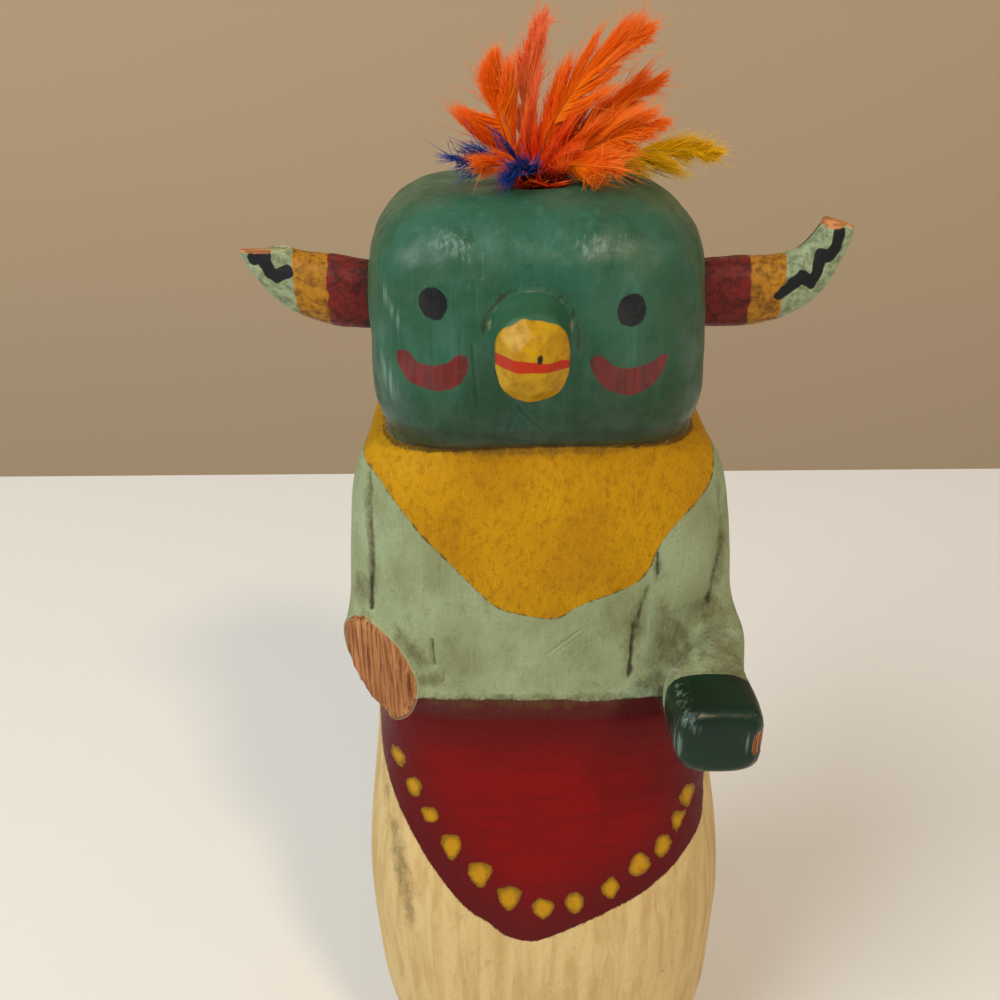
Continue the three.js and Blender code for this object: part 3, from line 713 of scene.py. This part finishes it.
patchy = f.ramp(f.cloud(5.0, detail=4, rough=0.6), 0.36, 0.62, 0.2, 0.62)
varnished = f.maths("MAXIMUM", f.both(on_head_paint, patchy), f.both(on_fist_paint, 0.2))
f.join(f.both(varnished, f.maths("SUBTRACT", 1.0, on_bare)), f.surface.inputs["Coat Weight"])
figure.data.shade_smooth()
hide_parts("figure")
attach(figure, "root")

# ------------------------------------------------------------ the snout
# A short round peg glued to the middle of the face. Its root is green like the head, the rest is
# yellow with a red stroke for the mouth, and its end is trimmed round in small flats.

snout = whittled_copy("snout", "snout_peg", 0.32)
SNOUT_LOW, SNOUT_HIGH = (np.array(corner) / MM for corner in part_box("snout"))
SNOUT_X, SNOUT_Z = (SNOUT_LOW[0] + SNOUT_HIGH[0]) / 2, (SNOUT_LOW[2] + SNOUT_HIGH[2]) / 2
SNOUT_TIP = SNOUT_LOW[1]
points = rubbed(points_of(snout), edges_of(snout), 10)
# Flats cut round the end, each by its lean from straight ahead, its bearing and its depth.
for lean, bearing, depth in [(42, 20, 0.7), (50, 75, 0.75), (40, 125, 0.8), (52, 185, 0.7), (44, 240, 0.8),
                             (50, 290, 0.7), (40, 335, 0.7), (16, 100, 0.35), (22, 275, 0.5)]:
    lean, bearing = math.radians(lean), math.radians(bearing)
    way = np.array([math.sin(lean) * math.cos(bearing), -math.cos(lean), math.sin(lean) * math.sin(bearing)])
    reach = points @ way
    plane = reach.max() - depth
    points -= np.outer(np.clip(reach - plane, 0, None), way)
points = rubbed(points, edges_of(snout), 2)
seat = soft_step(points[:, 1], FACE_Y - 2.0, FACE_Y)
points[:, 1] += 1.0 * seat
points[:, 0] += seat * 0.35 * np.sign(points[:, 0] - SNOUT_X)
set_points(snout, points)
normals = normals_of(snout)
nick = np.linalg.norm((points - np.array([-4.8, SNOUT_TIP, 200.4])) / np.array([0.42, 3, 0.75]), axis=1)
push = 0.05 * waviness(points, 1.6, 91) - 0.5 * np.exp(-nick**2)
set_points(snout, points + normals * push[:, None])
points = points_of(snout)
even = rubbed(points, edges_of(snout), 4)
note(snout, "small_hollow", ((even - points) * normals_of(snout)).sum(1))
off_middle = points[:, 0] - SNOUT_X
mouth = 0.78 - 0.03 * off_middle - np.abs(points[:, 2] - (199.3 - 0.05 * off_middle))
note(snout, "mouth_paint", np.where(points[:, 1] < -33, mouth + 0.2 * waviness(points, 1.5, 92), OUTSIDE))
on_top = soft_step(points[:, 2], SNOUT_Z - 1.0, SNOUT_HIGH[2] - 1.0)
root_depth = points[:, 1] - (SNOUT_TIP + 7.5 - 4.7 * on_top)
note(snout, "root_paint", root_depth + 0.3 * waviness(points, 1.5, 93))
note(snout, "nick", 1.1 - nick)

peg = Finish("snout_paint")
speckle = peg.cloud(0.4, detail=2, rough=0.7)
grime = peg.cloud(1.8, detail=4, rough=0.6)
yellow = peg.two_tone(grime, 0.35, 0.7, (180, 138, 5), (154, 106, 3))
yellow = peg.tint(yellow, speckle, 0.6, 0.78, 0.4, (150, 104, 20))
colour = peg.mixed(peg.ramp(peg.number("mouth_paint"), -0.08, 0.12), yellow, (168, 40, 8))
colour = peg.mixed(peg.ramp(peg.number("root_paint"), -0.12, 0.12), colour, (46, 88, 62))
# Dirt and painted shade in the hollows between the flats.
dirt_and_shade = peg.ramp(peg.plus(peg.number("small_hollow"), grime, 0.05), 0.05, 0.1, 0, 0.7)
colour = peg.mixed(dirt_and_shade, colour, (96, 70, 26))
colour = peg.mixed(peg.ramp(peg.number("nick"), 0.0, 0.35), colour, (30, 34, 18))
normal = peg.bump(grime, 0.08, peg.bump(speckle, 0.02))
gloss_free = peg.ramp(grime, 0.3, 0.7, 0.34, 0.5)
snout.data.materials.append(peg.lay(colour, gloss_free, normal, specular=0.2))
snout.data.shade_smooth()
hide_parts("snout")
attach(snout, "root")

# ------------------------------------------------------------ the horns
# Two whittled horns pegged into the sides of the head, painted in bands of maroon, ochre and pale
# green with a black zigzag. Both have lost their points and show bare wood there.

HORNS = [
    dict(node="horn_left", piece="left_horn", side=1, red_to=32.5, ochre_to=38.3,
         zigzag=[(37.6, 199.6), (39.4, 201.2), (41.3, 202.6), (43.0, 201.3), (43.9, 203.4), (44.0, 206.0),
                 (45.8, 205.8), (46.6, 207.4), (46.9, 209.6)], stroke=1.0, raise_by=0.35, bare_above=210.5,
         bare_from=40.0, back_stroke=((41.6, 206.6), (45.0, 211.6))),
    dict(node="horn_right", piece="right_horn", side=-1, red_to=39.7, ochre_to=45.4,
         zigzag=[(-52.2, 206.2), (-50.4, 206.9), (-50.1, 205.2), (-49.5, 203.8), (-48.4, 203.2),
                 (-46.5, 204.1)],
         stroke=1.15, raise_by=1.1, bare_above=207.0,
         bare_from=49.2, back_stroke=((-60.0, 220.0), (-60.0, 221.0))),
]


def horn_finish(name):
    h = Finish(name)
    speckle = h.cloud(0.36, detail=3, rough=0.75)
    grime = h.cloud(1.5, detail=5, rough=0.68)
    grain = h.cloud(0.5, (14, 1, 1), detail=3)
    maroon = h.two_tone(grime, 0.4, 0.66, (116, 22, 20), (66, 14, 12))
    ochre = h.two_tone(grime, 0.4, 0.66, (172, 116, 12), (116, 70, 6))
    pale = h.two_tone(grime, 0.38, 0.66, (146, 160, 124), (104, 112, 80))
    colour = h.mixed(h.ramp(h.number("out_to_ochre"), -0.2, 0.2), ochre, maroon)
    colour = h.mixed(h.ramp(h.number("out_to_pale"), -0.2, 0.2), pale, colour)
    colour = h.tint(colour, speckle, 0.52, 0.74, 0.6, (58, 44, 20))
    proud = h.plus(h.number("small_hollow"), speckle, -0.16)
    rubbed_pale = h.ramp(proud, -0.11, -0.17, 0, 0.6)
    colour = h.mixed(rubbed_pale, colour, (190, 170, 120))
    colour = h.mixed(h.ramp(h.number("zigzag_paint"), -0.1, 0.1), colour, (13, 15, 17))
    # Dirt and painted shade in the hollows and at the root against the head.
    dirt_and_shade = h.ramp(h.plus(h.number("small_hollow"), grime, 0.09), 0.07, 0.12, 0, 0.8)
    at_root = h.ramp(h.plus(h.number("near_head"), grime, 5.0), 3.4, 5.0, 0, 0.75)
    colour = h.mixed(h.maths("MAXIMUM", dirt_and_shade, at_root), colour, (46, 34, 16))
    wood = h.two_tone(grain, 0.4, 0.65, (196, 128, 74), (140, 78, 40))
    colour = h.mixed(h.ramp(h.number("bare_wood"), -0.1, 0.1), colour, wood)
    normal = h.bump(grime, 0.2, h.bump(grain, 0.06, h.bump(speckle, 0.05)))
    return h.lay(colour, h.ramp(grime, 0.3, 0.7, 0.4, 0.62), normal, specular=0.25)


for horn in HORNS:
    piece = whittled_copy(horn["node"], horn["piece"], 0.36)
    side = horn["side"]
    points = points_of(piece)
    tip_cut = soft_step(points[:, 2], horn["bare_above"] - 0.6, horn["bare_above"] - 0.1)
    points = rubbed(points, edges_of(piece), 12, tip_cut)
    root, end = (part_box(horn["node"])[k].x / MM for k in ((0, 1) if side > 0 else (1, 0)))
    along = (points[:, 0] - root) / (end - root)
    # The horn swells upwards in the middle, and its root runs on into the head.
    points[:, 2] += horn["raise_by"] * np.sin(math.pi * np.clip(along, 0, 1)) * (1 - tip_cut)
    points[:, 0] -= side * 1.4 * (1 - soft_step(along, 0.0, 0.16))
    set_points(piece, points)
    push = 0.2 * (knife_cuts(points * np.array([0.6, 1, 1]), 3.4, 31) - 0.3)
    push += 0.07 * waviness(points, 2.4, 32)
    set_points(piece, points + normals_of(piece) * push[:, None])
    points = points_of(piece)
    even = rubbed(points, edges_of(piece), 5)
    note(piece, "small_hollow", ((even - points) * normals_of(piece)).sum(1))
    ragged = 0.35 * waviness(points, 1.4, 33)
    out = side * points[:, 0]
    note(piece, "out_to_ochre", horn["red_to"] - out + ragged)
    note(piece, "out_to_pale", horn["ochre_to"] - out + ragged + 0.06 * (points[:, 2] - 200))
    flat = front_view(points)
    line = np.min([off_line(flat, a, b) for a, b in zip(horn["zigzag"], horn["zigzag"][1:])], 0)
    zigzag = horn["stroke"] - line + 0.25 * waviness(points, 1.1, 34)
    # A second black stroke lies along the upper back edge, where the horn turns up.
    behind = off_line(points[:, [0, 2]], *horn["back_stroke"])
    zigzag = np.where(points[:, 1] < -1.0, zigzag, np.where(points[:, 1] < 1.6, 0.8 - behind, OUTSIDE))
    note(piece, "zigzag_paint", zigzag)
    bare = points[:, 2] - horn["bare_above"] + 0.5 * waviness(points, 1.3, 35)
    bare = np.minimum(bare, side * points[:, 0] - horn["bare_from"])
    note(piece, "bare_wood", bare)
    note(piece, "near_head", 3.0 - np.abs(points[:, 0] - root))
    piece.data.materials.append(horn_finish(horn["piece"] + "_paint"))
    piece.data.shade_smooth()
    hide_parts(horn["node"])
    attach(piece, "root")

# ------------------------------------------------------------ the feathers
# Ten small dyed fluffs, tied in a bunch and stuck in the hole on top of the head. Each has a fine
# quill with soft barbs down both sides, and the barbs have fuzz of their own.

QUILL_FOOT = 210.2              # height of the quills' lower ends, in the hole
IN_HOLE = 9.0                   # mm of quill below the hole's mouth
BEND_RUN = 4.0                  # mm above the mouth in which a quill leans out
# Of each feather: its name; the place of its foot (distance and bearing from the hole's middle); the
# bearing, lean and further curl of its quill in degrees; its length and width over the barbs; its
# barbs, how far they open from the quill and spread off its plane; its tufts of down; its scraps.
PLUME_ROWS = [
    ("orange_tall", (0.9, 110), 138, 24, -52, 24.5, 8, 800, 25, 0.5, 120, 0, "pale orange"),
    ("orange_main", (0.9, 290), -8, 8, 62, 29, 9.5, 1700, 27, 0.5, 120, 0, "orange"),
    ("orange_left", (3, 168), 176, 27, -22, 18.5, 11, 1700, 30, 0.6, 120, 0, "orange"),
    ("orange_upper", (3, 14), 4, 40, 26, 23, 8, 1000, 27, 0.6, 120, 0, "orange"),
    ("orange_middle", (3, -13), -18, 56, 24, 20, 9, 1200, 31, 0.7, 120, 0, "orange"),
    ("orange_low", (3, -42), -40, 80, 14, 14.5, 7, 700, 34, 0.9, 120, 0, "orange"),
    ("orange_tuft", (3, 225), 220, 78, 8, 11, 5, 380, 38, 1.1, 120, 24, "orange"),
    ("blue_upper", (3, 199), 202, 74, 12, 13, 5.5, 260, 44, 1.3, 30, 0, "blue"),
    ("blue_lower", (3, 252), 243, 88, 12, 10, 6, 260, 44, 1.3, 30, 0, "blue"),
    ("yellow", (3, 42), 15, 82, 16, 33, 8.5, 1500, 54, 1.5, 120, 0, "yellow"),
]
PLUME_KEYS = "name spot bearing lean curl length width barbs open spread down scraps dye".split()
PLUMES = [dict(zip(PLUME_KEYS, row)) for row in PLUME_ROWS]
DYES = {
    "orange": dict(slot="orange_feather", root=(250, 70, 4), body=(255, 152, 20), tip=(255, 188, 100)),
    "pale orange": dict(slot="orange_feather", root=(244, 84, 14), body=(255, 156, 84), tip=(255, 196, 150)),
    "blue": dict(slot="blue_feather", root=(20, 30, 96), body=(44, 84, 186), tip=(112, 140, 196)),
    "yellow": dict(slot="yellow_feather", root=(170, 150, 30), body=(248, 214, 16), tip=(255, 236, 90)),
}


def quill_line(plume, steps):
    """Points, directions and face directions down the middle of one quill."""
    turn = math.radians(plume["bearing"])
    outward = np.array([math.cos(turn), math.sin(turn), 0])
    side = np.array([-outward[1], outward[0], 0])
    far, spot_turn = plume["spot"][0], math.radians(plume["spot"][1])
    x, y = HOLE["x"] + far * math.cos(spot_turn), HOLE["y"] + far * math.sin(spot_turn)
    place = np.array([x, y, QUILL_FOOT])
    whole = IN_HOLE + plume["length"]
    line, ways, faces = [], [], []
    for i in range(steps + 1):
        above = max(0.0, whole * i / steps - IN_HOLE)
        ease = min(1.0, above / BEND_RUN)
        ease = ease * ease * (3 - 2 * ease)
        tilt = math.radians(plume["lean"] * ease + plume["curl"] * above / plume["length"])
        along = outward * math.sin(tilt) + np.array([0, 0, math.cos(tilt)])
        line.append(place.copy())
        ways.append(along)
        faces.append(np.cross(along, side))
        place = place + along * whole / steps
    return np.array(line), np.array(ways), np.array(faces), side


THREE_WAYS = (0, 2.0944, 4.18879)       # the corners round a strand, in radians


class Strands:
    """Collects fine three-sided strands as one mesh."""

    def __init__(self):
        self.points, self.faces, self.notes = [], [], []

    def add(self, line, thick, across, marks):
        """line is the strand's middle, thick its half-thickness at each point, across one sideways way."""
        ways = np.gradient(line, axis=0)
        ways /= np.linalg.norm(ways, axis=1)[:, None] + 1e-9
        u = np.cross(ways, across)
        u /= np.linalg.norm(u, axis=1)[:, None] + 1e-9
        v = np.cross(ways, u)
        base = len(self.points)
        for k in range(len(line) - 1):
            for a in THREE_WAYS:
                self.points.append(line[k] + thick[k] * (math.cos(a) * u[k] + math.sin(a) * v[k]))
                self.notes.append((k / (len(line) - 1), *marks))
        self.points.append(line[-1])
        self.notes.append((1.0, *marks))
        self.faces.append((base + 2, base + 1, base))
        for k in range(len(line) - 2):
            for a in range(3):
                b = (a + 1) % 3
                lower, upper = base + 3 * k, base + 3 * k + 3
                self.faces.append((lower + a, lower + b, upper + b, upper + a))
        tip, last = len(self.points) - 1, base + 3 * (len(line) - 2)
        for a in range(3):
            self.faces.append((last + a, last + (a + 1) % 3, tip))

    def piece(self, name):
        mesh = bpy.data.meshes.new(name)
        mesh.from_pydata((np.array(self.points) * MM).tolist(), [], self.faces)
        piece = bpy.data.objects.new(name, mesh)
        bpy.context.scene.collection.objects.link(piece)
        notes = np.array(self.notes)
        for k, title in enumerate(("along_barb", "up_feather", "chance")):
            note(piece, title, notes[:, k])
        return piece


def fluffy(plume, seed):
    """One feather: a quill, barbs that run together in pointed locks, and down about its foot."""
    chance = np.random.default_rng(seed)
    steps = 60
    line, ways, faces, side = quill_line(plume, steps)
    strands = Strands()
    start = IN_HOLE / (IN_HOLE + plume["length"])
    strands.add(line[: steps - 1], np.linspace(0.3, 0.06, steps - 1), side, (0.0, 2.0))

    def on_quill(share):
        at = (start + (0.01 + 0.95 * min(max(share, 0.0), 1.0)) * (1 - start)) * steps
        low = min(int(at), steps - 1)
        mix = at - low
        return [rows[low] * (1 - mix) + rows[low + 1] * mix for rows in (line, ways, faces)]

    def barb_way(along, face, hand, lift, opened):
        out = hand * face * math.cos(lift) + side * math.sin(lift)
        return along * math.cos(opened) + out * math.sin(opened), out

    pieces = 5
    t = np.linspace(0, 1, pieces + 1)[:, None]
    lock_run = 3.0 / plume["length"]
    for n in range(plume["barbs"]):
        share = ((n + chance.random()) / plume["barbs"]) ** 0.9
        hand = 1 if n % 2 else -1
        lock = math.floor(share / lock_run + 0.5 * hand + 0.5 * chance.random())
        own = np.random.default_rng([seed, lock + 50, hand + 1])
        lock_turn, lock_lift, lock_reach = own.normal(size=3)
        lock_share = (lock + 0.4) * lock_run
        lift = plume["spread"] * (0.55 * lock_lift + 0.2 * chance.normal())
        opened = math.radians(plume["open"]) * (1.15 - 0.8 * share + 0.22 * lock_turn)
        swell = math.sin(math.pi * min(1.0, 0.15 + 0.82 * share)) ** 0.8
        reach = plume["width"] * swell * min(1.5, max(0.6, 1.0 + 0.26 * lock_reach))
        reach = min(reach, (1 - share) * plume["length"] * 0.8 + 1.0)
        # A barb leaves the quill at its own place and bends over to its lock's point.
        place, along, face = on_quill(share)
        lock_place, lock_along, lock_face = on_quill(lock_share)
        lock_way, out = barb_way(lock_along, lock_face, hand, lift, opened)
        stray = 1.9 if chance.random() < 0.12 else 0.5
        end = lock_place + lock_way * reach * (0.7 + 0.4 * chance.random()) + stray * chance.normal(size=3)
        own_way, out = barb_way(along, face, hand, lift, opened * 1.5)
        middle = place + own_way * 0.45 * reach + 0.25 * chance.normal(size=3)
        barb = (1 - t) ** 2 * place + 2 * t * (1 - t) * middle + t**2 * end
        half = 0.085 * (1 - 0.85 * t[:, 0]) + 0.008
        shade = 0.6 * own.random() + 0.4 * chance.random()
        strands.add(barb, half, out + 0.3 * along, (share, shade))
        for _ in range(2):
            k = chance.integers(1, pieces)
            hair_way = (barb[k + 1] - barb[k]) * pieces / reach + chance.normal(size=3) * 0.45
            hair_way /= np.linalg.norm(hair_way)
            hair = 0.6 + 1.3 * chance.random()
            hairs = barb[k] + np.outer([0, 0.5, 1], hair_way) * hair
            strands.add(hairs, np.array([0.035, 0.025, 0.0]), along, (share, shade))
    # Down about the foot fills the hole's mouth.
    foot_place = line[int(start * steps)]
    for n in range(plume["down"]):
        foot = foot_place + chance.normal(size=3) * np.array([0.6, 0.6, 0.4])
        way = np.array([chance.normal(), chance.normal() - 0.3, 0.7 + 0.5 * chance.random()])
        way /= np.linalg.norm(way)
        tuft = foot + np.outer([0, 0.4, 0.75, 1], way) * (2.4 + 3.0 * chance.random())
        tuft[2:, 2] -= 0.5 * chance.random()
        strands.add(tuft, np.array([0.09, 0.07, 0.04, 0.0]), side, (-0.4 * chance.random(), chance.random()))
    # A few broken quill ends stick out over the hole's front edge.
    for n in range(plume["scraps"]):
        foot = np.array([HOLE["x"] - 3.4 + 6.4 * chance.random(), HOLE["y"] - 3.2, CROWN - 0.6])
        way = np.array([1.3 * chance.normal(), -0.8 * chance.random(), 0.35 + 0.3 * chance.random()])
        way /= np.linalg.norm(way)
        scrap = foot + np.outer([0, 0.5, 1], way) * (2.6 + 3.0 * chance.random())
        strands.add(scrap, np.array([0.3, 0.22, 0.05]), side, (0.1, 0.1 + 0.4 * chance.random()))
    return strands


def feather_finish(dye_name):
    dye = DYES[dye_name]
    f = Finish(dye_name.replace(" ", "_") + "_feather")
    along, up, chance = (f.number(name) for name in ("along_barb", "up_feather", "chance"))
    root, body, tip = (linear(*dye[k]) for k in ("root", "body", "tip"))
    dark = linear(*(int(v * 0.45) for v in dye["root"]))
    colour = f.mixed(f.ramp(up, 0.0, 0.4), root, body)
    colour = f.mixed(f.ramp(along, 0.4, 1.0, 0, 0.45), colour, tip)
    colour = f.mixed(f.ramp(chance, 0.6, 1.0, 0, 0.3), colour, tip)
    colour = f.mixed(f.ramp(chance, 0.25, 0.0, 0, 0.4), colour, root)
    colour = f.mixed(f.ramp(f.cloud(2.0), 0.5, 0.8, 0, 0.25), colour, root)
    colour = f.mixed(f.ramp(up, 0.0, -0.3), colour, dark)
    colour = f.mixed(f.ramp(chance, 1.5, 2.0, 0, 0.6), colour, dark)
    f.lay(colour, 0.75, specular=0.1)
    glow = f.put("BsdfTranslucent", {"Color": colour})
    mix = f.put("MixShader", {0: 0.55, 1: f.surface.outputs[0], 2: glow.outputs[0]})
    f.join(mix.outputs[0], f.tree.nodes["Material Output"].inputs["Surface"])
    return f.material


feather_finishes = {name: feather_finish(name) for name in DYES}
for seed, plume in enumerate(PLUMES, 100):
    node = "plume_" + plume["name"]
    piece = fluffy(plume, seed).piece(node + "_fluff")
    piece.data.materials.append(feather_finishes[plume["dye"]])
    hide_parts(node)
    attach(piece, "root")

# ------------------------------------------------------------ table, light and camera
# A plain pale floor and a plain backdrop, a broad soft light from the upper left, a smaller warm one
# from the right front, and a hand-held camera looking down at the doll from close by.

FLOOR_BACK, FLOOR_DEPTH = 0.345, 2.345


def sheet(name, size, place, lean, shade):
    bpy.ops.mesh.primitive_plane_add(size=1)
    plane = bpy.context.object
    plane.name = name
    plane.scale = (*size, 1)
    plane.rotation_euler = (math.radians(lean), 0, 0)
    plane.location = place
    plane.data.materials.append(Finish("plain_" + name).lay(linear(*shade), 0.7, specular=0.15))
    return plane


floor_middle = (0, FLOOR_BACK - FLOOR_DEPTH / 2, -0.0002)
floor = sheet("floor", (3.0, FLOOR_DEPTH), floor_middle, 0, (232, 230, 226))
backdrop = sheet("backdrop", (4.0, 2.4), (0, 0.62, 0.0), 90, (174, 150, 122))


def soft_light(name, place, aim, size, power, colour):
    lamp = bpy.data.lights.new(name, "AREA")
    lamp.shape = "DISK"
    lamp.size = size
    lamp.energy = power
    lamp.color = colour
    holder = bpy.data.objects.new(name, lamp)
    bpy.context.scene.collection.objects.link(holder)
    holder.location = place
    direction = np.array(place) - np.array(aim)
    flat_far = math.hypot(direction[0], direction[1])
    holder.rotation_euler = (math.atan2(flat_far, direction[2]), 0, math.atan2(direction[0], -direction[1]))


soft_light("broad_left", (-1.0, -0.75, 1.25), (0, 0, 0.12), 1.0, 18.0, (0.9, 1.0, 1.04))
soft_light("warm_right", (0.50, -0.91, 1.24), (0, 0, 0.12), 0.2, 7.5, (1.0, 0.76, 0.5))
world = bpy.data.worlds.new("room")
bpy.context.scene.world = world
world.use_nodes = True
sky = world.node_tree.nodes["Background"].inputs
sky["Color"].default_value = (1.0, 0.99, 0.95, 1)
sky["Strength"].default_value = 0.5

camera = bpy.data.cameras.new("camera")
camera.lens = 36.14
camera.sensor_width = 36.0
view = bpy.data.objects.new("camera", camera)
bpy.context.scene.collection.objects.link(view)
view.location = (-0.0106, -0.174, 0.2467)
view.rotation_mode = "QUATERNION"
tilt = Euler((math.radians(63.0), 0, 0)).to_quaternion()
roll = Quaternion((0, 0, 1), math.radians(-0.46))
view.rotation_quaternion = tilt @ roll
bpy.context.scene.camera = view
bpy.context.scene.view_settings.view_transform = "Standard"
